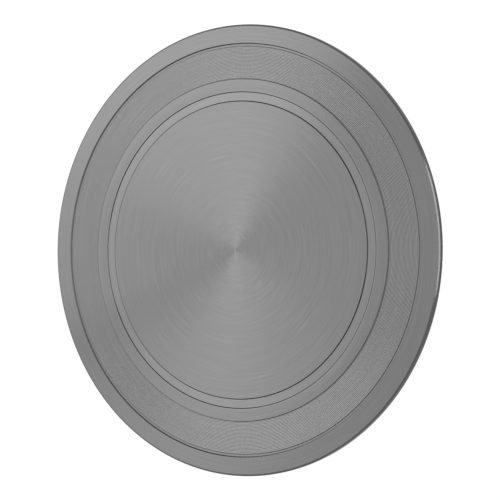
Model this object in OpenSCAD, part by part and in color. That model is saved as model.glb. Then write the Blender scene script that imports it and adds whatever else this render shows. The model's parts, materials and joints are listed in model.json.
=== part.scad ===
// Low-profile banding wheel: a turned wheel head with centring rings, carried on a
// spindle that runs in two sealed ball bearings inside a cast base on rubber feet.
// Millimetres. The spindle axis is Z, and the origin is on the table under it.

/* [Wheel head] */
// Diameter of the wheel head
head_d = 250; // [210:1:320]
// Thickness of the head's plate
head_t = 4; // [3:0.5:8]
// Radius of the rim's upper edge
head_edge_r = 1; // [0.4:0.1:1.4]
// Radius of the rim's lower edge
head_under_edge_r = 0.6; // [0.2:0.1:1.2]
// Diameter of the thick pad under the middle of the head
pad_d = 84; // [76:1:110]
// Depth of that pad below the plate
pad_t = 4; // [3.5:0.5:8]
// Radius of the fillet between the pad and the plate
pad_fillet = 3; // [1:0.5:3]
// Chamfer on the pad's lower edge
pad_chamfer = 0.6; // [0.3:0.1:1]
// Metal left above the tapped holes in the pad
head_skin = 2; // [1.5:0.1:2.5]

/* [Centring rings] */
// Width of the plain rim outside the rings
rim_w = 10.6; // [6:0.2:16]
// Width of the narrow groove inside the rim
outer_groove_w = 1.4; // [1:0.1:3]
// Width of the ribbed band
ribbed_w = 18; // [8:0.2:24]
// Width of the plain band inside the ribbed one
band_w = 7.5; // [4:0.1:12]
// Width of the groove round the middle disc
inner_groove_w = 5.1; // [2:0.1:8]
// Depth of the narrow groove below the face
outer_groove_depth = 0.65; // [0.5:0.05:0.9]
// Depth of the groove round the middle disc
inner_groove_depth = 0.5; // [0.3:0.05:1]
// Drop of the ribbed band below the face
ribbed_drop = 0.35; // [0.2:0.05:0.45]
// Fall of the rim from the narrow groove out to its edge
rim_drop = 0.5; // [0.2:0.05:0.8]
// Widest spacing of the fine ribs, which share the band evenly
rib_pitch = 0.74; // [0.6:0.02:2]
// Depth of the cuts between the ribs
rib_depth = 0.04; // [0.03:0.01:0.1]
// Share of a rib that its long, rising face takes
rib_face = 0.85; // [0.5:0.05:0.9]
// Diameter of the lathe's centre mark
centre_mark_d = 1.6; // [0.8:0.1:3]

/* [Spindle] */
// Diameter of the flange under the head
flange_d = 66; // [61:1:74]
// Thickness of the flange
flange_t = 6; // [5:0.5:10]
// Chamfer on the flange's lower edge
flange_chamfer = 1; // [0.5:0.1:1.5]
// Diameter of the spigot that centres the head
spigot_d = 30; // [20:1:32]
// Height of the spigot
spigot_h = 2; // [1:0.5:2.5]
// Step from the bearing seat out to the shoulder
shoulder_step = 2.5; // [2:0.1:3]
// Length of spindle below its retaining ring
spindle_tail = 2.2; // [1.5:0.1:3]
// Chamfer on the spindle's lower end
tail_chamfer = 0.8; // [0.3:0.1:1]

/* [Bearings] */
// Bore of each bearing
bearing_bore = 20; // [18:0.5:22]
// Outside diameter of each bearing
bearing_od = 42; // [41:0.5:46]
// Width of each bearing
bearing_w = 12; // [11:0.5:16]
// Diameter of a ball
ball_d = 6.35; // [5.6:0.05:7]
// Balls in each bearing
ball_count = 9; // [7:1:10]
// Depth of the ball groove in each ring
race_depth = 1.25; // [0.8:0.05:1.5]
// Chamfer on the bore of the inner ring and the outside of the outer ring
race_chamfer = 0.6; // [0.3:0.1:0.8]
// Thickness of a seal
seal_t = 0.8; // [0.5:0.1:1]
// How far a seal lies inside the bearing's face
seal_inset = 0.4; // [0.2:0.1:0.6]
// How far a seal reaches into the outer ring
seal_seat = 1.1; // [0.6:0.1:1.4]
// Radial thickness of the cage
cage_wall = 2.4; // [1.6:0.1:2.8]
// How far the cage's fingers reach past the middle of the balls
cage_finger = 1.8; // [1:0.1:2.4]

/* [Retaining rings] */
// Thickness of the spindle's retaining ring
spindle_ring_t = 1.2; // [1:0.1:1.5]
// Depth of its groove in the spindle
spindle_ring_groove = 0.5; // [0.4:0.1:0.8]
// Radial width of the spindle's ring
spindle_ring_w = 2.4; // [2:0.1:2.8]
// Thickness of the support washer above it
washer_t = 1; // [0.8:0.1:1.5]
// Thickness of the housing's retaining ring
housing_ring_t = 1.75; // [1.5:0.05:2]
// Depth of its groove in the housing
housing_ring_groove = 1.25; // [1:0.05:1.4]
// Radial width of the housing's ring
housing_ring_w = 3; // [2.6:0.1:3.4]
// Radius of the eyes at the ends of both rings
ring_eye_r = 1.9; // [1.6:0.1:2.1]
// Diameter of the plier hole in each eye
ring_hole_d = 2; // [1.4:0.1:2.2]
// Opening between the ends of both rings
ring_opening = 4; // [3:0.5:6]

/* [Base] */
// Diameter of the base
base_d = 164; // [152:1:190]
// Height of the base's rim
base_rim_h = 11; // [9:0.5:15]
// Slope of the base's upper face, in degrees
base_slope = 8; // [4:1:12]
// Wall thickness of the casting
base_wall = 6; // [4.5:0.5:7]
// Radius of the rim's upper edge
base_edge_r = 4; // [1:0.5:5]
// Chamfer on the base's lower edge
base_under_chamfer = 0.8; // [0.3:0.1:1.5]
// Wall of the hub round the bearings
hub_wall = 10; // [8.5:0.5:12]
// Radius of the fillet at the foot of the hub
hub_fillet = 14; // [6:1:18]
// Radius of the hub's upper edge
hub_edge_r = 1.5; // [0.5:0.5:2]
// Chamfer that leads each bearing into the hub
hub_lead = 0.6; // [0.3:0.1:0.9]
// Height of the hub's lip above the upper bearing
hub_lip = 1; // [0.5:0.5:2]
// Height of the land between the two bearings
land_h = 8; // [5:1:14]
// Width of the shoulder on which the outer rings seat
land_w = 2.2; // [1.2:0.1:2.4]
// Room below the lower bearing for the retaining rings
ring_room = 6; // [5.8:0.1:9]
// Thickness of the four ribs under the base
web_t = 5; // [4:0.5:8]
// Distance of the ribs from the base's underside
web_recess = 1; // [0.5:0.5:3]

/* [Bottom cover] */
// Thickness of the cover
cover_t = 2; // [1.5:0.1:3]
// Chamfer on the cover's lower edge
cover_chamfer = 0.4; // [0.2:0.1:0.8]
// Gap from the cover's edge to the hub's edge
cover_margin = 0.5; // [0.2:0.1:1]

/* [Feet] */
// Largest diameter of a rubber foot
foot_d = 24; // [20:1:27]
// Taper of the foot's radius below the base
foot_taper = 1; // [0.4:0.2:2]
// Chamfer on the foot's lower edge
foot_chamfer = 0.8; // [0.4:0.1:1.2]
// Height of a rubber foot
foot_h = 8; // [7.5:0.5:10]
// Height of the base's underside above the table
foot_stand = 5; // [4.5:0.5:6.5]
// Distance from the base's edge in to the foot's middle
foot_inset = 17; // [16:0.5:22]
// Wall of the boss round a foot
boss_wall = 2.5; // [1.5:0.5:3]
// Depth of the screw's counterbore in the foot
foot_counterbore = 4; // [3.7:0.1:4.5]
// Thickness of the washer in the counterbore
foot_washer_t = 0.8; // [0.5:0.1:1]

/* [Screws] */
// Diameter of the screws that hold the head
head_screw_d = 5; // [4:0.5:6]
// Pitch circle of those screws
head_screw_pcd = 46; // [43:0.5:47]
// Diameter of the screws that hold the cover
cover_screw_d = 3; // [2.5:0.5:4]
// Length of the screws that hold the cover
cover_screw_l = 8; // [6:1:10]
// Diameter of the screws that hold the feet
foot_screw_d = 4; // [3:0.5:5]
// Length of the screws that hold the feet
foot_screw_l = 10; // [9:0.5:11]

/* [Clearances] */
// Gap between pressed or seated faces
seat_gap = 0.02; // [0.01:0.01:0.05]
// Gap between a ball and its grooves
ball_play = 0.05; // [0.03:0.01:0.1]
// Gap between a ball and its cage pocket
pocket_play = 0.15; // [0.1:0.05:0.3]
// Gap between a seal's lip and the inner ring
seal_play = 0.2; // [0.1:0.05:0.4]
// Gap round a screw in its hole
screw_play = 0.2; // [0.1:0.05:0.4]
// Running gap between the flange and the hub
running_gap = 2; // [1:0.5:4]

/* [Hidden] */
$fn = 96;
over = 1; // overlap of a cutting shape past the face it cuts
hole_spare = 0.5; // depth of a blind hole past its screw
socket_share = 0.6; // hexagon socket's width as a share of its screw's diameter
socket_depth_share = 0.8; // its depth as a share of the head's height
pan_top_share = 0.8; // radius of a pan head's flat end as a share of the head's
slot_share = 0.22; // width of a cross recess as a share of its screw's diameter
slot_depth_share = 0.6; // its depth as a share of the head's height

// Heights up the spindle axis
base_z = foot_stand;
cover_z = base_z;
sleeve_z = cover_z + cover_t;
lower_z = sleeve_z + ring_room;
land_z = lower_z + bearing_w;
upper_z = land_z + land_h;
shoulder_z = upper_z + bearing_w;
hub_top = shoulder_z + hub_lip;
flange_z = hub_top + running_gap;
pad_z = flange_z + flange_t;
plate_z = pad_z + pad_t;
top_z = plate_z + head_t;

// Radii of the wheel head and its rings, from the rim inwards
head_r = head_d / 2;
rim_in_r = head_r - rim_w;
ribbed_out_r = rim_in_r - outer_groove_w;
ribbed_in_r = ribbed_out_r - ribbed_w;
band_in_r = ribbed_in_r - band_w;
middle_r = band_in_r - inner_groove_w;
rim_start_r = rim_in_r + outer_groove_depth / 2;
rim_slope = atan(rim_drop / (head_r - rim_start_r));
pad_r = pad_d / 2;

// Radii of the bearings and what seats on them
bore_r = bearing_bore / 2;
od_r = bearing_od / 2;
pitch_r = (bore_r + od_r) / 2;
ball_r = ball_d / 2;
inner_shoulder_r = pitch_r - ball_r + race_depth;
outer_shoulder_r = pitch_r + ball_r - race_depth;
seal_out_r = outer_shoulder_r + seal_seat;
seal_in_r = inner_shoulder_r + seal_play;
spindle_r = bore_r - seat_gap;
shoulder_r = bore_r + shoulder_step;
housing_r = od_r + seat_gap;
land_r = od_r - land_w;

// The retaining rings
spindle_ring_z = lower_z - washer_t - spindle_ring_t - 3 * seat_gap;
spindle_groove_r = bore_r - spindle_ring_groove;
spindle_ring_out_r = spindle_groove_r + spindle_ring_w;
tail_z = spindle_ring_z - seat_gap - spindle_tail;
housing_ring_z = lower_z - housing_ring_t - 2 * seat_gap;
housing_groove_r = od_r + housing_ring_groove;
housing_ring_in_r = housing_groove_r - housing_ring_w;

// The base and its feet
base_r = base_d / 2;
hub_r = od_r + hub_wall;
cavity_r = base_r - base_wall;
foot_r = foot_d / 2;
foot_ring_r = base_r - foot_inset;
foot_pocket_z = foot_h + seat_gap;
boss_r = foot_r + boss_wall;

// Places of the feet and of the screws round the axis
foot_angles = [45, 135, 225, 315];
head_screw_angles = [45, 135, 225, 315];
cover_screw_angles = [0, 90, 180, 270];

// Screw heads, from the diameters of their screws
function sunk_head_r(d) = d;
function sunk_head_h(d) = d / 2;
function pan_head_r(d) = d;
function pan_head_h(d) = 0.6 * d;
head_hole_top = top_z - head_skin;
head_screw_r = head_screw_pcd / 2;
cover_screw_r = od_r + housing_ring_groove + (hub_wall - housing_ring_groove) / 2;
foot_screw_z = foot_counterbore - foot_washer_t - seat_gap;

// Height of the base's upper face, and of the wall's inner face, at radius r
function upper_face_z(r) = base_z + base_rim_h + (base_r - r) * tan(base_slope);
function inner_face_z(r) = upper_face_z(r) - base_wall / cos(base_slope);

// Shared shapes

// A ring's section between two radii and two heights
module section(r1, r2, z1, z2) {
    translate([r1, z1]) square([r2 - r1, z2 - z1]);
}

// What to cut from an outer corner to round it: c is the round's centre, e its radius,
// and n the direction in which the corner's other face looks
module corner_cut(c, e, n) {
    difference() {
        polygon([c, c + [2 * e, 0], c + 2 * e * [1, sign(n[1])], c + 2 * e * n]);
        translate(c) circle(r = e);
    }
}

// What to cut from a square corner at p to chamfer it by c
module chamfer_cut(p, c) {
    translate(p) rotate(45) square(c * sqrt(2), center = true);
}

// Copies of a child on a circle round the axis, at the given angles
module on_circle(r, angles) {
    for (a = angles) rotate(a) translate([r, 0, 0]) children();
}

// A screw that points up, with its head's lower face at z = 0 and a hexagon socket
module sunk_screw(d, length) {
    socket_d = socket_share * d / cos(30);
    socket_depth = socket_depth_share * sunk_head_h(d);
    difference() {
        union() {
            cylinder(r = d / 2, h = length);
            cylinder(r1 = sunk_head_r(d), r2 = d / 2, h = sunk_head_h(d));
        }
        translate([0, 0, -over]) cylinder(d = socket_d, h = over + socket_depth, $fn = 6);
    }
}

// A screw that points up, with its pan head under z = 0 and a cross recess
module pan_screw(d, length) {
    slot_w = slot_share * d;
    slot_depth = slot_depth_share * pan_head_h(d);
    difference() {
        union() {
            cylinder(r = d / 2, h = length);
            translate([0, 0, -pan_head_h(d)])
                cylinder(r1 = pan_top_share * pan_head_r(d), r2 = pan_head_r(d), h = pan_head_h(d));
        }
        for (a = [0, 90])
            rotate(a)
                translate([-d / 2, -slot_w / 2, -pan_head_h(d) - over])
                    cube([d, slot_w, over + slot_depth]);
    }
}

// Wheel head

// Height of the rim's face at radius r
function rim_z(r) = top_z - (r - rim_start_r) * tan(rim_slope);

// Groove round the middle disc. Its walls, like all steps of the face, lean 45 degrees
module inner_groove_cut() {
    half_run = inner_groove_depth / 2;
    floor_z = top_z - inner_groove_depth;
    polygon([
        [middle_r - half_run, top_z + over], [middle_r - half_run, top_z],
        [middle_r + half_run, floor_z], [band_in_r - half_run, floor_z],
        [band_in_r + half_run, top_z], [band_in_r + half_run, top_z + over]
    ]);
}

// Everything outside the plain band: the ribs, the narrow groove and the falling rim
module outer_rings_cut() {
    rib_top_z = top_z - ribbed_drop;
    groove_z = top_z - outer_groove_depth;
    half_step = (outer_groove_depth - ribbed_drop) / 2;
    first_r = ribbed_in_r + ribbed_drop / 2;
    last_r = ribbed_out_r - half_step;
    rib_count = ceil((last_r - first_r) / rib_pitch);
    rib_step = (last_r - first_r) / rib_count;
    ribs = [
        for (i = [0 : rib_count - 1])
            each [
                [first_r + i * rib_step, rib_top_z - rib_depth],
                [first_r + (i + rib_face) * rib_step, rib_top_z]
            ]
    ];
    polygon(concat(
        [[ribbed_in_r - ribbed_drop / 2, top_z + over], [ribbed_in_r - ribbed_drop / 2, top_z]],
        ribs,
        [
            [last_r, rib_top_z - rib_depth], [ribbed_out_r + half_step, groove_z],
            [rim_in_r - outer_groove_depth / 2, groove_z], [rim_start_r, top_z],
            [head_r + over, rim_z(head_r + over)], [head_r + over, top_z + over]
        ]
    ));
}

module head_section() {
    lean = [sin(rim_slope), cos(rim_slope)];
    edge_c = [head_r - head_edge_r, rim_z(head_r - head_edge_r) - head_edge_r / lean[1]];
    difference() {
        union() {
            section(0, head_r, plate_z, top_z);
            section(0, pad_r, pad_z, plate_z + over);
            difference() {
                section(pad_r - over, pad_r + pad_fillet, plate_z - pad_fillet, plate_z + over);
                translate([pad_r + pad_fillet, plate_z - pad_fillet]) circle(r = pad_fillet);
            }
        }
        corner_cut(edge_c, head_edge_r, lean);
        corner_cut([head_r - head_under_edge_r, plate_z + head_under_edge_r], head_under_edge_r, [0, -1]);
        chamfer_cut([pad_r, pad_z], pad_chamfer);
        inner_groove_cut();
        outer_rings_cut();
        section(0, spigot_d / 2 + seat_gap, pad_z - over, pad_z + spigot_h + seat_gap);
        polygon([
            [0, top_z - centre_mark_d / 2],
            [centre_mark_d / 2 + over, top_z + over],
            [0, top_z + over]
        ]);
    }
}

module wheel_head() {
    color("darkgray")
        difference() {
            rotate_extrude() head_section();
            on_circle(head_screw_r, head_screw_angles)
                translate([0, 0, pad_z - over])
                    cylinder(r = head_screw_d / 2 + seat_gap, h = head_hole_top - pad_z + over);
        }
}

// Spindle, with the flange that carries the head
module spindle() {
    color("silver")
        difference() {
            rotate_extrude() spindle_section();
            on_circle(head_screw_r, head_screw_angles)
                translate([0, 0, flange_z]) {
                    translate([0, 0, -over])
                        cylinder(r = head_screw_d / 2 + screw_play, h = flange_t + 2 * over);
                    cylinder(
                        r1 = sunk_head_r(head_screw_d) + screw_play,
                        r2 = head_screw_d / 2 + screw_play,
                        h = sunk_head_h(head_screw_d)
                    );
                }
        }
}

module spindle_section() {
    flange_r = flange_d / 2;
    difference() {
        union() {
            section(0, spindle_r, tail_z, shoulder_z + over);
            section(0, shoulder_r, shoulder_z + seat_gap, flange_z + over);
            section(0, flange_r, flange_z, pad_z - seat_gap);
            section(0, spigot_d / 2, pad_z - over, pad_z + spigot_h - seat_gap);
        }
        section(spindle_groove_r, bore_r + over, spindle_ring_z - seat_gap,
            spindle_ring_z + spindle_ring_t + seat_gap);
        chamfer_cut([spindle_r, tail_z], tail_chamfer);
        chamfer_cut([flange_r, flange_z], flange_chamfer);
    }
}

module head_screws() {
    color("dimgray")
        on_circle(head_screw_r, head_screw_angles)
            translate([0, 0, flange_z])
                sunk_screw(head_screw_d, head_hole_top - hole_spare - flange_z);
}

// Bearings: each module draws one piece of the bearing whose lower face is at height z

function ball_angle(i) = (i + 0.5) * 360 / ball_count;

module race_groove(z) {
    translate([pitch_r, z + bearing_w / 2]) circle(r = ball_r + ball_play);
}

module inner_ring(z) {
    color("lightgray")
        rotate_extrude()
            difference() {
                section(bore_r, inner_shoulder_r, z, z + bearing_w);
                race_groove(z);
                for (end_z = [z, z + bearing_w]) chamfer_cut([bore_r, end_z], race_chamfer);
            }
}

module outer_ring(z) {
    seal_room = seal_inset + seal_t + seat_gap;
    color("lightgray")
        rotate_extrude()
            difference() {
                section(outer_shoulder_r, od_r, z, z + bearing_w);
                race_groove(z);
                for (end_z = [z, z + bearing_w]) chamfer_cut([od_r, end_z], race_chamfer);
                section(outer_shoulder_r - over, seal_out_r, z - over, z + seal_room);
                section(outer_shoulder_r - over, seal_out_r, z + bearing_w - seal_room, z + bearing_w + over);
            }
}

module balls(z) {
    color("gainsboro")
        for (i = [0 : ball_count - 1])
            rotate(ball_angle(i))
                translate([pitch_r, 0, z + bearing_w / 2])
                    sphere(r = ball_r);
}

// A crown cage: a ring under the balls, with fingers that reach up between them
module cage(z) {
    middle_z = z + bearing_w / 2;
    floor_z = z + seal_inset + seal_t + 2 * seal_play;
    color("ivory")
        difference() {
            rotate_extrude()
                section(pitch_r - cage_wall / 2, pitch_r + cage_wall / 2, floor_z, middle_z + cage_finger);
            for (i = [0 : ball_count - 1])
                rotate(ball_angle(i))
                    translate([pitch_r - cage_wall, 0, middle_z])
                        rotate([0, 90, 0])
                            cylinder(r = ball_r + pocket_play, h = 2 * cage_wall);
        }
}

// The rubber seal whose lower face is at height z
module seal(z) {
    color("darkslategray")
        rotate_extrude()
            section(seal_in_r, seal_out_r - seat_gap, z, z + seal_t);
}

module bottom_seal(z) {
    seal(z + seal_inset);
}

module top_seal(z) {
    seal(z + bearing_w - seal_inset - seal_t);
}

module inner_spacer() {
    color("silver")
        rotate_extrude()
            section(bore_r, shoulder_r, land_z + seat_gap, upper_z - seat_gap);
}

// Retaining rings

module support_washer() {
    color("silver")
        rotate_extrude()
            section(bore_r, inner_shoulder_r - seal_play, lower_z - washer_t - seat_gap, lower_z - seat_gap);
}

// A split ring in plan, open towards +X, with an eye for pliers at each end
module split_ring(r_in, r_out, eye_ring_r) {
    eye_angle = asin((ring_opening / 2 + ring_eye_r) / eye_ring_r);
    difference() {
        union() {
            difference() {
                circle(r = r_out);
                circle(r = r_in);
                translate([0, -ring_opening / 2 - ring_eye_r])
                    square([r_out + over, ring_opening + 2 * ring_eye_r]);
            }
            for (a = [-eye_angle, eye_angle])
                rotate(a) translate([eye_ring_r, 0]) circle(r = ring_eye_r);
        }
        for (a = [-eye_angle, eye_angle])
            rotate(a) translate([eye_ring_r, 0]) circle(d = ring_hole_d);
    }
}

module spindle_retaining_ring() {
    color("dimgray")
        translate([0, 0, spindle_ring_z])
            linear_extrude(spindle_ring_t)
                split_ring(spindle_groove_r + seat_gap, spindle_ring_out_r,
                    spindle_groove_r + seat_gap + ring_eye_r);
}

module housing_retaining_ring() {
    color("dimgray")
        translate([0, 0, housing_ring_z])
            linear_extrude(housing_ring_t)
                split_ring(housing_ring_in_r, housing_groove_r - seat_gap,
                    housing_groove_r - seat_gap - ring_eye_r - housing_ring_groove);
}

// Base: a bell-shaped casting with a bearing hub, hollow below between four ribs

module base_outline() {
    lean = [sin(base_slope), cos(base_slope)];
    fillet_r = hub_r + hub_fillet;
    fillet_c = [fillet_r, upper_face_z(fillet_r) + hub_fillet / lean[1]];
    edge_r = base_r - base_edge_r;
    edge_c = [edge_r, upper_face_z(edge_r) - base_edge_r / lean[1]];
    difference() {
        polygon([
            [0, base_z], [base_r, base_z], [base_r, upper_face_z(base_r)],
            fillet_c - hub_fillet * lean, fillet_c, [hub_r, fillet_c[1]],
            [hub_r, hub_top], [0, hub_top]
        ]);
        translate(fillet_c) circle(r = hub_fillet);
        corner_cut(edge_c, base_edge_r, lean);
        chamfer_cut([base_r, base_z], base_under_chamfer);
        corner_cut([hub_r - hub_edge_r, hub_top - hub_edge_r], hub_edge_r, [0, 1]);
    }
}

module bearing_bores() {
    section(0, hub_r + over, base_z - over, sleeve_z);
    section(0, housing_r, base_z - over, land_z);
    section(0, housing_groove_r, housing_ring_z - seat_gap, housing_ring_z + housing_ring_t + seat_gap);
    section(0, land_r, land_z - over, upper_z + over);
    section(0, housing_r, upper_z, hub_top + over);
    for (end_z = [sleeve_z, hub_top]) chamfer_cut([housing_r, end_z], hub_lead);
}

// The hollow under the base, between the hub, the rim, the ribs and the foot bosses
module base_hollow() {
    difference() {
        rotate_extrude()
            polygon([
                [hub_r, base_z - over], [cavity_r, base_z - over],
                [cavity_r, inner_face_z(cavity_r)], [hub_r, inner_face_z(hub_r)]
            ]);
        for (a = foot_angles)
            rotate(a) {
                translate([0, -web_t / 2, base_z + web_recess])
                    cube([base_r, web_t, hub_top]);
                translate([foot_ring_r, 0, base_z - 2 * over])
                    cylinder(r = boss_r, h = hub_top);
            }
    }
}

module base() {
    foot_hole_h = foot_screw_z + foot_screw_l + hole_spare - base_z;
    cover_hole_h = cover_screw_l - cover_t + hole_spare;
    color("slategray")
        difference() {
            rotate_extrude()
                difference() {
                    base_outline();
                    bearing_bores();
                }
            base_hollow();
            on_circle(foot_ring_r, foot_angles) {
                translate([0, 0, base_z - over])
                    cylinder(r = foot_r + seat_gap, h = foot_pocket_z - base_z + over);
                translate([0, 0, base_z])
                    cylinder(r = foot_screw_d / 2 + seat_gap, h = foot_hole_h);
            }
            on_circle(cover_screw_r, cover_screw_angles)
                translate([0, 0, sleeve_z - over])
                    cylinder(r = cover_screw_d / 2 + seat_gap, h = cover_hole_h + over);
        }
}

module bottom_cover() {
    cover_r = hub_r - cover_margin;
    color("silver")
        difference() {
            rotate_extrude()
                difference() {
                    section(0, cover_r, cover_z, sleeve_z - seat_gap);
                    chamfer_cut([cover_r, cover_z], cover_chamfer);
                }
            on_circle(cover_screw_r, cover_screw_angles)
                translate([0, 0, cover_z - over])
                    cylinder(r = cover_screw_d / 2 + screw_play, h = cover_t + 2 * over);
        }
}

module cover_screws() {
    color("lightgray")
        on_circle(cover_screw_r, cover_screw_angles)
            translate([0, 0, cover_z - seat_gap])
                pan_screw(cover_screw_d, cover_screw_l);
}

// Feet

module at_foot(number) {
    rotate(foot_angles[number - 1]) translate([foot_ring_r, 0, 0]) children();
}

module foot(number) {
    color("black")
        at_foot(number)
            rotate_extrude()
                difference() {
                    polygon([
                        [0, 0], [foot_r - foot_taper, 0], [foot_r, foot_stand],
                        [foot_r, foot_h], [0, foot_h]
                    ]);
                    chamfer_cut([foot_r - foot_taper, 0], foot_chamfer);
                    section(0, pan_head_r(foot_screw_d) + 2 * screw_play, -over, foot_counterbore);
                    section(0, foot_screw_d / 2 + screw_play, 0, foot_h + over);
                }
}

module foot_washers() {
    color("lightgray")
        for (i = [1 : len(foot_angles)])
            at_foot(i)
                rotate_extrude()
                    section(foot_screw_d / 2 + screw_play, pan_head_r(foot_screw_d) + screw_play,
                        foot_screw_z + seat_gap, foot_counterbore - seat_gap / 2);
}

module foot_screws() {
    color("lightgray")
        for (i = [1 : len(foot_angles)])
            at_foot(i)
                translate([0, 0, foot_screw_z])
                    pan_screw(foot_screw_d, foot_screw_l);
}

wheel_head();
spindle();
head_screws();
inner_ring(upper_z);  // upper_bearing_inner_ring
outer_ring(upper_z);  // upper_bearing_outer_ring
balls(upper_z);  // upper_bearing_balls
cage(upper_z);  // upper_bearing_cage
top_seal(upper_z);  // upper_bearing_top_seal
bottom_seal(upper_z);  // upper_bearing_bottom_seal
inner_ring(lower_z);  // lower_bearing_inner_ring
outer_ring(lower_z);  // lower_bearing_outer_ring
balls(lower_z);  // lower_bearing_balls
cage(lower_z);  // lower_bearing_cage
top_seal(lower_z);  // lower_bearing_top_seal
bottom_seal(lower_z);  // lower_bearing_bottom_seal
inner_spacer();
support_washer();
spindle_retaining_ring();
housing_retaining_ring();
base();
bottom_cover();
cover_screws();
foot(1);  // foot_1
foot(2);  // foot_2
foot(3);  // foot_3
foot(4);  // foot_4
foot_washers();
foot_screws();
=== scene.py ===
import json
import math
import bmesh
import bpy
from mathutils import Matrix, Vector


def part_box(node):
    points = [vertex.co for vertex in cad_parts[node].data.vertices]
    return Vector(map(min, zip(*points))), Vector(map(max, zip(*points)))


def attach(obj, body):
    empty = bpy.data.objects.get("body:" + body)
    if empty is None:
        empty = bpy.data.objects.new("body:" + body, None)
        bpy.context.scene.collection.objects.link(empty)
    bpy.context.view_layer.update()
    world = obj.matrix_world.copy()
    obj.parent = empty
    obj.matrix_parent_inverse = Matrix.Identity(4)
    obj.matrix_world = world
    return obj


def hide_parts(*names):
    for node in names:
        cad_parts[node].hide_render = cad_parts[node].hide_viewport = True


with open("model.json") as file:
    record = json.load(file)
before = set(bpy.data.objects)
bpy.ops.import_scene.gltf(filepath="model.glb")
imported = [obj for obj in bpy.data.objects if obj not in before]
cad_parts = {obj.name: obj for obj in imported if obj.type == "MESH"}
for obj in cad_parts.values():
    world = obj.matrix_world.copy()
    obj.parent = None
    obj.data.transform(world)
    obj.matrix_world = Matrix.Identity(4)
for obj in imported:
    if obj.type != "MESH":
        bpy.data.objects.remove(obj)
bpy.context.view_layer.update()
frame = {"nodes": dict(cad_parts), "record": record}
mm = 0.001
print("frame loaded:", len(frame["nodes"]), "nodes")


# camera, at the photograph's angle: the near edge of the wheel is on the right of the picture
viewpoint = {
    "tilt": 32.25,           # degrees off the wheel's face
    "roll": 1.1,
    "distance": 1.0325,
    "lens": 134.3,
    "shift": (0.0287, 0.0),
}


def placeCamera(spec):
    data = bpy.data.cameras.new("photoCamera")
    data.lens = spec["lens"]
    data.shift_x, data.shift_y = spec["shift"]
    camera = bpy.data.objects.new("photoCamera", data)
    bpy.context.scene.collection.objects.link(camera)
    tilt = math.radians(spec["tilt"])
    back = Vector((0, -math.sin(tilt), math.cos(tilt)))
    right = Vector((0, -math.cos(tilt), -math.sin(tilt)))
    up = back.cross(right)
    turn = Matrix((right, up, back)).transposed() @ Matrix.Rotation(math.radians(spec["roll"]), 3, "Z")
    target = Vector((0, 0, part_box("wheel_head")[1].z))
    camera.matrix_world = Matrix.Translation(target + back * spec["distance"]) @ turn.to_4x4()
    bpy.context.scene.camera = camera


placeCamera(viewpoint)
print("camera placed")


# node and mesh helpers

def addNode(tree, kind, inputs=None, **settings):
    node = tree.nodes.new("ShaderNode" + kind)
    for name, value in settings.items():
        setattr(node, name, value)
    for name, value in (inputs or {}).items():
        if isinstance(value, bpy.types.NodeSocket):
            tree.links.new(value, node.inputs[name])
        else:
            node.inputs[name].default_value = value
    return node


def newMaterial(name, **constants):
    material = bpy.data.materials.new(name)
    material.use_nodes = True
    shader = material.node_tree.nodes["Principled BSDF"]
    for key, value in constants.items():
        shader.inputs[key.replace("_", " ")].default_value = value
    return material, material.node_tree, shader


def objectPlace(tree):
    return addNode(tree, "TexCoord").outputs["Object"]


def noise(tree, vector, scale, detail=3.0, roughness=0.5):
    node = addNode(tree, "TexNoise", {"Vector": vector, "Scale": scale, "Detail": detail, "Roughness": roughness})
    return node.outputs["Fac"]


def vectorMath(tree, operation, first, second=None, scale=None):
    inputs = {0: first}
    if second is not None:
        inputs[1] = second
    if scale is not None:
        inputs["Scale"] = scale
    node = addNode(tree, "VectorMath", inputs, operation=operation)
    return node.outputs["Value" if operation == "LENGTH" else "Vector"]


def maths(tree, operation, *values):
    return addNode(tree, "Math", dict(enumerate(values)), operation=operation).outputs[0]


def heightOf(tree, vector):
    return addNode(tree, "SeparateXYZ", {0: vector}).outputs["Z"]


def roundAxis(tree):
    # distance from the spindle's axis, and the heading away from it
    flat = vectorMath(tree, "MULTIPLY", objectPlace(tree), (1, 1, 0))
    return vectorMath(tree, "LENGTH", flat), vectorMath(tree, "NORMALIZE", flat)


def cutRound(tree, shader):
    # the highlight is drawn out across cuts that run round the axis
    tangent = addNode(tree, "Tangent", direction_type="RADIAL", axis="Z").outputs[0]
    tree.links.new(tangent, shader.inputs["Tangent"])


def noiseColour(tree, vector, scale):
    return addNode(tree, "TexNoise", {"Vector": vector, "Scale": scale}).outputs["Color"]


def remap(tree, value, fromLow, fromHigh, toLow, toHigh):
    node = addNode(tree, "MapRange", {"Value": value, "From Min": fromLow, "From Max": fromHigh,
                                      "To Min": toLow, "To Max": toHigh})
    return node.outputs["Result"]


def blendColour(tree, amount, first, second):
    node = addNode(tree, "Mix", data_type="RGBA")
    for index, value in ((0, amount), (6, first), (7, second)):   # the sockets of colours
        if isinstance(value, bpy.types.NodeSocket):
            tree.links.new(value, node.inputs[index])
        else:
            node.inputs[index].default_value = value
    return node.outputs[2]


def blendNumber(tree, amount, first, second):
    return addNode(tree, "Mix", {0: amount, 2: first, 3: second}, data_type="FLOAT").outputs[0]


def rgb(colour):
    return (*colour, 1)


def grey(level):
    return (level, level, level, 1)


def bump(tree, height, distance, **under):
    node = addNode(tree, "Bump", {"Height": height, "Distance": distance, "Strength": 1.0, **under})
    return node.outputs["Normal"]


# middle of what a noise texture gives, and how meshes are rounded and joined
noiseRange = (0.3, 0.7)
meshing = {"fineSegments": 3, "broadSegments": 8, "broadFrom": 0.5, "joinDistance": 1e-7, "smoothBelow": 35}


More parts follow.
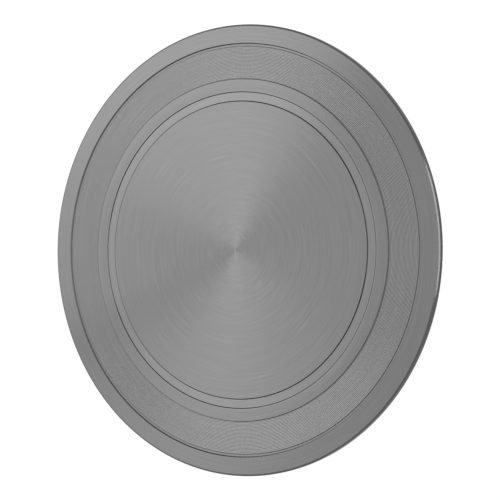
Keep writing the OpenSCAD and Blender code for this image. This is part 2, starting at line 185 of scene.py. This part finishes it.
def wireProfile(bm, corners):
    # corners are (radius, height, round) in millimetres; a broad round takes more segments than a fine one
    points = [bm.verts.new((r * mm, 0, z * mm)) for r, z, _ in corners]
    for first, second in zip(points, points[1:]):
        bm.edges.new((first, second))
    for size in sorted({corner[2] for corner in corners if corner[2]}):
        picked = [point for point, corner in zip(points, corners) if corner[2] == size]
        bmesh.ops.bevel(bm, geom=picked, offset=size * mm, offset_type="OFFSET", affect="VERTICES",
                        segments=meshing["fineSegments" if size < meshing["broadFrom"] else "broadSegments"],
                        profile=0.5, material=-1, clamp_overlap=False)


def spinProfile(bm, steps):
    bmesh.ops.spin(bm, geom=bm.verts[:] + bm.edges[:], cent=(0, 0, 0), axis=(0, 0, 1), dvec=(0, 0, 0),
                   angle=2 * math.pi, steps=steps, use_merge=True, use_duplicate=False)
    bmesh.ops.remove_doubles(bm, verts=bm.verts, dist=meshing["joinDistance"])
    bmesh.ops.recalc_face_normals(bm, faces=bm.faces)


def held(corners, margin):
    # a loop beside each rounded corner keeps the flat faces flat when they are shaded smooth
    room = 2.5 * margin
    result = []
    for index, (r, z, size) in enumerate(corners):
        here = Vector((r, z))
        for step in (-1, 1):
            if step == 1:
                result.append((r, z, size))
            beside = index + step
            if size and 0 <= beside < len(corners):
                other = Vector(corners[beside][:2])
                point = here + (other - here).normalized() * (size + margin)
                if (other - here).length > size + corners[beside][2] + room:
                    result.append((point.x, point.y, 0))
    return result


def newPiece(name, bm, material, body, replaced, smoothBelow=meshing["smoothBelow"]):
    # edges that turn by less than smoothBelow, in degrees, are shaded smooth
    for face in bm.faces:
        face.smooth = True
    for edge in bm.edges:
        edge.smooth = len(edge.link_faces) == 2 and edge.calc_face_angle() < math.radians(smoothBelow)
    mesh = bpy.data.meshes.new(name)
    bm.to_mesh(mesh)
    bm.free()
    mesh.materials.append(material)
    piece = bpy.data.objects.new(name, mesh)
    bpy.context.scene.collection.objects.link(piece)
    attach(piece, body)
    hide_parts(*replaced)


# wheel head, turned from plate: heights and radii in millimetres
turnedHead = {
    "radius": 125, "top": 62, "plateUnder": 58, "padUnder": 54,
    "edgeRun": 0.95, "edgeRise": 0.665, "underRound": 0.6, "cornerBreak": 0.08, "hold": 0.05,
    "rimInner": 114.35, "ribbedOuter": 112.95, "ribbedInner": 94.78, "bandInner": 87.55, "middle": 82.5,
    "outerGroove": 0.92, "innerGroove": 0.5, "ribbedDrop": 0.62, "rimDrop": 0.5,
    # breadth of each step for a millimetre of its height
    "middleRun": 1.1, "bandRun": 0.85, "ribbedRun": 0.65, "grooveRun": 0.75, "rimRun": 0.54,
    "bandCrest": 90.8, "bandFall": 0.1,   # the plain band is crowned: it falls from its crest to both edges
    "ribs": 24, "ribShape": ((0.53, 0.072), (0.74, 0.014)),   # (share of the rib, height) of its corners
    "grooveRibs": 6, "grooveRibShape": ((0.5, 0.04),),
    "markRadius": 0.8,
    "padRadius": 42, "padFillet": 3, "padChamfer": 0.6, "recessRadius": 15.02, "recessTop": 56.02,
    "holeCircle": 23, "holeRadius": 2.52, "holeTop": 60, "holeAngles": (45, 135, 225, 315), "holeSegments": 48,
    "steps": 384, "smoothBelow": 18,
}


def ribRun(first, last, floor, count, shape):
    # equal ribs from one radius to another, each rising outwards and falling away faster
    pitch = (last - first) / count
    corners = []
    for rib in range(count):
        start = first + rib * pitch
        corners.append((start, floor, 0))
        corners += [(start + share * pitch, floor + height, 0) for share, height in shape]
    return corners + [(last, floor, 0)]


def headCorners(spec):
    # every step of the face is centred on its ring's radius, so half its breadth lies on each side
    top, edge = spec["top"], spec["cornerBreak"]
    inner, outer, drop = spec["innerGroove"], spec["outerGroove"], spec["ribbedDrop"]
    middleStep, bandStep = inner * spec["middleRun"] / 2, inner * spec["bandRun"] / 2
    ribbedStep, grooveStep = drop * spec["ribbedRun"] / 2, (outer - drop) * spec["grooveRun"] / 2
    rimStep = outer * spec["rimRun"] / 2
    ribDepth = max(height for share, height in spec["ribShape"])
    corners = [(0, top - spec["markRadius"], 0), (spec["markRadius"], top, 0)]
    corners += [(spec["middle"] - middleStep, top, edge)]
    corners += ribRun(spec["middle"] + middleStep, spec["bandInner"] - bandStep, top - inner,
                      spec["grooveRibs"], spec["grooveRibShape"])
    corners += [(spec["bandInner"] + bandStep, top - spec["bandFall"], edge), (spec["bandCrest"], top, 0),
                (spec["ribbedInner"] - ribbedStep, top - spec["bandFall"], edge)]
    corners += ribRun(spec["ribbedInner"] + ribbedStep, spec["ribbedOuter"] - grooveStep, top - drop - ribDepth,
                      spec["ribs"], spec["ribShape"])
    corners += [
        (spec["ribbedOuter"] + grooveStep, top - outer, 0),
        (spec["rimInner"] - rimStep, top - outer, 0), (spec["rimInner"] + rimStep, top, edge),
        (spec["radius"] - spec["edgeRun"], top - spec["rimDrop"], 2 * edge),
        (spec["radius"], top - spec["rimDrop"] - spec["edgeRise"], 2 * edge),
        (spec["radius"], spec["plateUnder"], spec["underRound"]),
        (spec["padRadius"], spec["plateUnder"], spec["padFillet"]),
        (spec["padRadius"], spec["padUnder"] + spec["padChamfer"], 0),
        (spec["padRadius"] - spec["padChamfer"], spec["padUnder"], 0),
    ]
    return held(corners, spec["hold"])


def recessCorners(spec):
    return [(spec["recessRadius"], spec["padUnder"], 0), (spec["recessRadius"], spec["recessTop"], 0),
            (0, spec["recessTop"], 0)]


def drillPad(bm, spec):
    # the pad's underside, which the spin leaves open, is filled round the blind screw holes
    rims = []
    for angle in spec["holeAngles"]:
        turn = math.radians(angle)
        centre = Vector((math.cos(turn), math.sin(turn), 0)) * spec["holeCircle"] + Vector((0, 0, spec["padUnder"]))
        circle = bmesh.ops.create_circle(bm, cap_ends=False, radius=spec["holeRadius"] * mm,
                                         segments=spec["holeSegments"], matrix=Matrix.Translation(centre * mm))
        rims.append(list({edge for vert in circle["verts"] for edge in vert.link_edges}))
    unfilled = [edge for edge in bm.edges if len(edge.link_faces) < 2]
    bmesh.ops.triangle_fill(bm, use_beauty=True, edges=unfilled, normal=(0, 0, -1))
    for rim in rims:
        wall = bmesh.ops.extrude_edge_only(bm, edges=rim)["geom"]
        raised = [part for part in wall if isinstance(part, bmesh.types.BMVert)]
        bmesh.ops.translate(bm, verts=raised, vec=(0, 0, (spec["holeTop"] - spec["padUnder"]) * mm))
        ends = [part for part in wall if isinstance(part, bmesh.types.BMEdge) and set(part.verts) <= set(raised)]
        bmesh.ops.edgeloop_fill(bm, edges=ends)
    bmesh.ops.recalc_face_normals(bm, faces=bm.faces)


turnedFinish = {
    # from this radius outwards, in millimetres: colour of the faces, and painted shade on the steps and rib backs
    # between them, for the dark that they reflect; the first ring's step shade is a painted lightening of the centre
    # mark, the last a painted darkening of the edge break, and the ribbed band's faces are lighter to balance its
    # painted dark rib backs
    "rings": [
        (0, 0.2, 0.23), (2, 0.2, 0.05), (82, 0.215, 0.04), (85, 0.215, 0.05), (88, 0.194, 0.05), (92, 0.194, 0.13),
        (95.1, 0.231, 0.01), (112.5, 0.189, 0.05), (113.6, 0.189, 0.189), (120, 0.189, 0.1),
    ],
    # where the normal leans, the face colour gives way to the painted shade of the steps
    "faceTilt": (0.955, 0.985),   # upright share of the normal, from the shade of a step to that of a face
    # painted shade: upright walls (plate edge, pad side, recess wall) are darkened to stand in for the dark that
    # they reflect
    "sideTilt": (0.1, 0.5), "paintedSideShade": 0.39,   # the upright edge of the plate is darker
    # painted shading: the middle disc is lighter at its centre and darker towards its edge
    "paintedDiscShade": (1.03, 0.985),   # from the centre to the edge of the middle disc
    "roughness": (0.23, 0.262), "edgeRoughness": 0.2, "edgeBand": (123.9, 124.1), "anisotropy": 0.828,
    # cutting marks for each metre of radius, how far they run round the axis, and their strength
    "fineMarks": 2600, "broadMarks": 700, "markDetail": 2.0, "arcs": 2.2, "bumpDepth": 0.001,
    "markRange": (0.7, 1.3), "markDepth": 0.045, "scratchRange": (0.64, 0.74), "scratchDepth": 0.12,
}


def turnedAluminium(spec):
    material, tree, shader = newMaterial("turnedAluminium", Metallic=1.0, Anisotropic=spec["anisotropy"],
                                         Anisotropic_Rotation=0.25)
    radius, heading = roundAxis(tree)
    arcs = vectorMath(tree, "SCALE", heading, scale=spec["arcs"])

    def ringMarks(perMetre):
        # noise drawn out along the cut: fast across the radius, slow round the axis
        lift = addNode(tree, "CombineXYZ", {"Z": maths(tree, "MULTIPLY", radius, perMetre)}).outputs[0]
        return noise(tree, vectorMath(tree, "ADD", arcs, lift), 1.0, spec["markDetail"])

    # the ring's face colour, or in column 2 its painted step shade
    def ringShades(column):
        share = maths(tree, "MULTIPLY", radius, 1 / (turnedHead["radius"] * mm))
        ramp = addNode(tree, "ValToRGB", {"Fac": share})
        stops = ramp.color_ramp
        stops.interpolation = "CONSTANT"
        for index, ring in enumerate(spec["rings"]):
            place = ring[0] / turnedHead["radius"]
            stop = stops.elements[index] if index < 2 else stops.elements.new(place)
            stop.position, stop.color = place, grey(ring[column])
        return ramp.outputs["Color"]

    fine, broad = ringMarks(spec["fineMarks"]), ringMarks(spec["broadMarks"])
    marks = maths(tree, "ADD", fine, broad)
    upright = maths(tree, "ABSOLUTE", heightOf(tree, addNode(tree, "NewGeometry").outputs["Normal"]))
    # face colours by ring, with painted shade on the steps and rib backs where the normal leans
    shade = blendColour(tree, remap(tree, upright, *spec["faceTilt"], 0, 1), ringShades(2), ringShades(1))
    # even cutting marks, and a few longer bright scratches among them
    cut = remap(tree, marks, *spec["markRange"], 1 - spec["markDepth"], 1 + spec["markDepth"])
    cut = maths(tree, "ADD", cut, remap(tree, fine, *spec["scratchRange"], 0, spec["scratchDepth"]))
    # painted shade on the upright walls
    cut = maths(tree, "MULTIPLY", cut, remap(tree, upright, *spec["sideTilt"], spec["paintedSideShade"], 1))
    # painted shading across the middle disc, darker outwards
    cut = maths(tree, "MULTIPLY", cut, remap(tree, radius, 0, turnedHead["middle"] * mm, *spec["paintedDiscShade"]))
    tree.links.new(vectorMath(tree, "SCALE", shade, scale=cut), shader.inputs["Base Color"])
    edge = remap(tree, radius, *(place * mm for place in spec["edgeBand"]), 0, 1)
    faces = remap(tree, broad, *noiseRange, *spec["roughness"])
    tree.links.new(blendNumber(tree, edge, faces, spec["edgeRoughness"]), shader.inputs["Roughness"])
    tree.links.new(bump(tree, marks, spec["bumpDepth"] * mm), shader.inputs["Normal"])
    cutRound(tree, shader)
    return material


def buildHead(spec):
    bm = bmesh.new()
    wireProfile(bm, headCorners(spec))
    wireProfile(bm, recessCorners(spec))
    spinProfile(bm, spec["steps"])
    drillPad(bm, spec)
    newPiece("turnedHead", bm, turnedAluminium(turnedFinish), "wheel", ["wheel_head"],
             spec["smoothBelow"])


buildHead(turnedHead)
print("head turned")


# finishes of the pieces that keep their CAD shape; lengths in millimetres, scales for each metre
enamelFinish = {
    "dip": (0.11, 0.113, 0.117), "crest": (0.2, 0.204, 0.208), "iron": (0.07, 0.066, 0.063),
    "dimple": 3.2, "dimpleDepth": 0.2, "dimpleBlend": 0.6, "dimpleRange": (0.15, 0.75), "drift": 4, "driftScale": 90,
    "peel": 0.9, "peelDepth": 0.008, "roughness": (0.2, 0.34), "coat": 0.4, "coatRoughness": 0.1,
    "chip": 2.4, "chipHeight": (7.5, 11.5), "chipChance": (0.36, 0.2), "chipEdge": 0.015, "ironRoughness": 0.75,
}
steelFinishes = {
    "ground_steel": {"name": "groundSteel", "colour": (0.5, 0.5, 0.505), "roughness": 0.3, "lines": 0.25},
    "bearing_steel": {"name": "bearingSteel", "colour": (0.62, 0.62, 0.63), "roughness": 0.16, "lines": 0.15},
    "spring_steel": {"name": "springSteel", "colour": (0.13, 0.125, 0.118), "roughness": 0.4, "lines": 0.5},
}
steelCut = {"anisotropy": 0.6, "clouds": 55, "shades": (0.86, 1.1), "shadeRange": (0.75, 1.25),
            "roughness": (0.85, 1.2), "depth": 0.002}
platedFinishes = {
    "black_steel": {"name": "blackSteel", "cool": (0.05, 0.052, 0.058), "warm": (0.072, 0.068, 0.064),
                    "roughness": 0.4, "grain": 0.006},
    "zinc_plate": {"name": "zincPlate", "cool": (0.53, 0.545, 0.565), "warm": (0.57, 0.56, 0.54),
                   "roughness": 0.36, "grain": 0.006},
    "zinc_steel": {"name": "zincSteel", "cool": (0.55, 0.565, 0.585), "warm": (0.61, 0.6, 0.575),
                   "roughness": 0.3, "grain": 0.006},
}
plating = {"drift": 120, "grain": 1800, "driftRange": (0.35, 0.65), "roughness": (0.8, 1.3)}
mouldedFinishes = {
    "cage_nylon": {"name": "cageNylon", "colour": (0.66, 0.6, 0.46), "roughness": 0.5, "grain": 0.02, "dust": 0.1},
    "seal_rubber": {"name": "sealRubber", "colour": (0.03, 0.03, 0.032), "roughness": 0.6, "grain": 0.03,
                    "dust": 0.3},
    "foot_rubber": {"name": "footRubber", "colour": (0.02, 0.02, 0.021), "roughness": 0.68, "grain": 0.04,
                    "dust": 0.8},
}
moulding = {"patches": 140, "grain": 1500, "dustRange": (0.45, 0.75), "dustLift": 0.05, "roughness": (0.85, 1.15)}


def roughen(tree, shader, texture, roughness, shares):
    low, high = [roughness * share for share in shares]
    tree.links.new(remap(tree, texture, *noiseRange, low, high), shader.inputs["Roughness"])


def hammeredEnamel(spec):
    # stove enamel that has drawn into dimples, chipped to the iron in places along the foot of the casting
    material, tree, shader = newMaterial("hammeredEnamel", Coat_Weight=spec["coat"],
                                         Coat_Roughness=spec["coatRoughness"])
    place = objectPlace(tree)
    drift = vectorMath(tree, "SCALE", noiseColour(tree, place, spec["driftScale"]), scale=spec["drift"] * mm)
    cells = addNode(tree, "TexVoronoi", {"Vector": vectorMath(tree, "ADD", place, drift),
                                         "Scale": 1 / (spec["dimple"] * mm), "Smoothness": spec["dimpleBlend"]},
                    feature="SMOOTH_F1").outputs["Distance"]
    peel = noise(tree, place, 1 / (spec["peel"] * mm), 2)
    crest = remap(tree, cells, *spec["dimpleRange"], 1, 0)
    paint = blendColour(tree, crest, rgb(spec["dip"]), rgb(spec["crest"]))
    chipHeights = [level * mm for level in spec["chipHeight"]]
    chance = remap(tree, heightOf(tree, place), *chipHeights, *spec["chipChance"])
    spots = noise(tree, place, 1 / (spec["chip"] * mm), 3, 0.6)
    chipped = remap(tree, maths(tree, "SUBTRACT", spots, chance), 0, spec["chipEdge"], 1, 0)
    tree.links.new(blendColour(tree, chipped, paint, rgb(spec["iron"])), shader.inputs["Base Color"])
    glaze = remap(tree, peel, *noiseRange, *spec["roughness"])
    tree.links.new(blendNumber(tree, chipped, glaze, spec["ironRoughness"]), shader.inputs["Roughness"])
    skin = bump(tree, peel, spec["peelDepth"] * mm)
    tree.links.new(bump(tree, cells, spec["dimpleDepth"] * mm, Normal=skin), shader.inputs["Normal"])
    return material


def turnedSteel(spec):
    # rings cut or ground round the spindle's axis
    material, tree, shader = newMaterial(spec["name"], Metallic=1.0, Anisotropic=steelCut["anisotropy"],
                                         Anisotropic_Rotation=0.25)
    place = objectPlace(tree)
    radius, heading = roundAxis(tree)
    across = addNode(tree, "CombineXYZ", {"Z": maths(tree, "ADD", radius, heightOf(tree, place))}).outputs[0]
    lift = vectorMath(tree, "SCALE", across, scale=1 / (spec["lines"] * mm))
    rings = noise(tree, vectorMath(tree, "ADD", heading, lift), 1.0, 2)
    clouds = noise(tree, place, steelCut["clouds"], 4)
    dark, light = [rgb(part * share for part in spec["colour"]) for share in steelCut["shades"]]
    both = remap(tree, maths(tree, "ADD", rings, clouds), *steelCut["shadeRange"], 0, 1)
    tree.links.new(blendColour(tree, both, dark, light), shader.inputs["Base Color"])
    roughen(tree, shader, clouds, spec["roughness"], steelCut["roughness"])
    tree.links.new(bump(tree, rings, steelCut["depth"] * mm), shader.inputs["Normal"])
    cutRound(tree, shader)
    return material


def platedSteel(spec):
    # thin plating, with a cool and a warm tint that drift over the piece
    material, tree, shader = newMaterial(spec["name"], Metallic=1.0)
    place = objectPlace(tree)
    drift, grain = noise(tree, place, plating["drift"], 3), noise(tree, place, plating["grain"], 2)
    tint = remap(tree, drift, *plating["driftRange"], 0, 1)
    tree.links.new(blendColour(tree, tint, rgb(spec["cool"]), rgb(spec["warm"])), shader.inputs["Base Color"])
    roughen(tree, shader, grain, spec["roughness"], plating["roughness"])
    tree.links.new(bump(tree, grain, spec["grain"] * mm), shader.inputs["Normal"])
    return material


def mouldedFinish(spec):
    # fine moulded grain, with clay dust caught in it
    material, tree, shader = newMaterial(spec["name"])
    place = objectPlace(tree)
    patches, grain = noise(tree, place, moulding["patches"], 4, 0.6), noise(tree, place, moulding["grain"], 3)
    settled = remap(tree, patches, *moulding["dustRange"], 0, spec["dust"])
    clean, dusty = rgb(spec["colour"]), rgb(part + moulding["dustLift"] for part in spec["colour"])
    tree.links.new(blendColour(tree, settled, clean, dusty), shader.inputs["Base Color"])
    roughen(tree, shader, grain, spec["roughness"], moulding["roughness"])
    tree.links.new(bump(tree, grain, spec["grain"] * mm), shader.inputs["Normal"])
    return material


finishes = {"grey_enamel": hammeredEnamel(enamelFinish)}
for table, make in ((steelFinishes, turnedSteel), (platedFinishes, platedSteel), (mouldedFinishes, mouldedFinish)):
    finishes.update({slotName: make(spec) for slotName, spec in table.items()})
for part in frame["record"]["subparts"]:
    node = frame["nodes"][part["node"]]
    if part["material_slot"] in finishes:
        node.data.materials.clear()
        node.data.materials.append(finishes[part["material_slot"]])
print("finishes set")


# balls of the two bearings, lapped bright, on the circle that their races hold them to
bearingBalls = {
    "radius": 3.175, "circle": 15.5, "count": 9, "firstAngle": 20, "detail": 4,
    "sets": {"upper_bearing_balls": "upper_ball_set", "lower_bearing_balls": "lower_ball_set"},
    "finish": {"name": "lappedSteel", "cool": (0.6, 0.605, 0.615), "warm": (0.66, 0.655, 0.64),
               "roughness": 0.08, "grain": 0.0004},
}


def buildBalls(spec):
    finish = platedSteel(spec["finish"])
    for node, body in spec["sets"].items():
        low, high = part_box(node)
        bm = bmesh.new()
        for ball in range(spec["count"]):
            angle = math.radians(spec["firstAngle"] + ball * 360 / spec["count"])
            place = Vector((math.cos(angle), math.sin(angle), 0)) * spec["circle"] * mm
            place.z = (low.z + high.z) / 2
            bmesh.ops.create_icosphere(bm, subdivisions=spec["detail"], radius=spec["radius"] * mm,
                                       matrix=Matrix.Translation(place))
        newPiece(node.split("_")[0] + "Balls", bm, finish, body, [node])


buildBalls(bearingBalls)
print("bearings filled")


# studio: white floor, white surround and soft lamps
studio = {
    "floorHalf": 6.0, "floorCells": 8, "floorLevel": -0.0002,   # metres; just clear of the feet
    "floorGlow": 0.82, "floorColour": 0.34, "floorRoughness": 0.9, "worldForDiffuse": 0.6,
}


def seenDirectly(tree):
    # 1 for rays from the camera, in a mirror or through glass, so that all of these see a white studio
    path = addNode(tree, "LightPath")
    seen = maths(tree, "MAXIMUM", path.outputs["Is Camera Ray"], path.outputs["Is Glossy Ray"])
    return maths(tree, "MAXIMUM", seen, path.outputs["Is Transmission Ray"])


def buildFloor(spec):
    bm = bmesh.new()
    bmesh.ops.create_grid(bm, x_segments=spec["floorCells"], y_segments=spec["floorCells"], size=spec["floorHalf"])
    bmesh.ops.translate(bm, verts=bm.verts, vec=(0, 0, spec["floorLevel"]))
    mesh = bpy.data.meshes.new("studioFloor")
    bm.to_mesh(mesh)
    bm.free()
    material, tree, shader = newMaterial("whiteFloor", Roughness=spec["floorRoughness"], Specular_IOR_Level=0.0)
    shader.inputs["Base Color"].default_value = grey(spec["floorColour"])
    shader.inputs["Emission Color"].default_value = grey(1)
    glow = maths(tree, "MULTIPLY", seenDirectly(tree), spec["floorGlow"])
    tree.links.new(glow, shader.inputs["Emission Strength"])
    mesh.materials.append(material)
    floor = bpy.data.objects.new("studioFloor", mesh)
    bpy.context.scene.collection.objects.link(floor)


def buildWorld(spec):
    world = bpy.data.worlds.new("whiteStudio")
    world.use_nodes = True
    bpy.context.scene.world = world
    tree = world.node_tree
    background = tree.nodes["Background"]
    background.inputs["Color"].default_value = grey(1)
    strength = remap(tree, seenDirectly(tree), 0, 1, spec["worldForDiffuse"], 1)
    tree.links.new(strength, background.inputs["Strength"])


# the lamps face the wheel head; turn is the heading of a lamp's first side, in degrees
lamps = {
    "highPanel": {"at": (0.937, 1.941, 2.071), "size": (2.0, 1.295), "turn": 57.0, "watts": 8.86},
    "sidePanel": {"at": (-0.452, 1.564, 2.249), "size": (0.543, 0.548), "turn": 33.8, "watts": 0.877},
    "lowCard": {"at": (0.02, 0.363, 0.3), "size": (0.1, 0.191), "turn": -72.7, "watts": 0.043},
    "nearPanel": {"at": (0.22, -1.09, 1.304), "size": (1.2, 0.5), "turn": 0.0, "watts": 9.0},
}


def hangLamp(name, spec):
    data = bpy.data.lights.new(name, "AREA")
    data.shape = "RECTANGLE"
    data.size, data.size_y = spec["size"]
    data.energy = spec["watts"]
    lamp = bpy.data.objects.new(name, data)
    bpy.context.scene.collection.objects.link(lamp)
    back = (Vector(spec["at"]) - Vector((0, 0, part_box("wheel_head")[1].z))).normalized()
    heading = math.radians(spec["turn"])
    along = Vector((math.cos(heading), math.sin(heading), 0))
    along = (along - back * along.dot(back)).normalized()
    turn = Matrix((along, back.cross(along), back)).transposed()
    lamp.matrix_world = Matrix.Translation(spec["at"]) @ turn.to_4x4()


buildFloor(studio)
buildWorld(studio)
for name, spec in lamps.items():
    hangLamp(name, spec)
print("studio lit")

bpy.context.scene.view_settings.view_transform = "Standard"
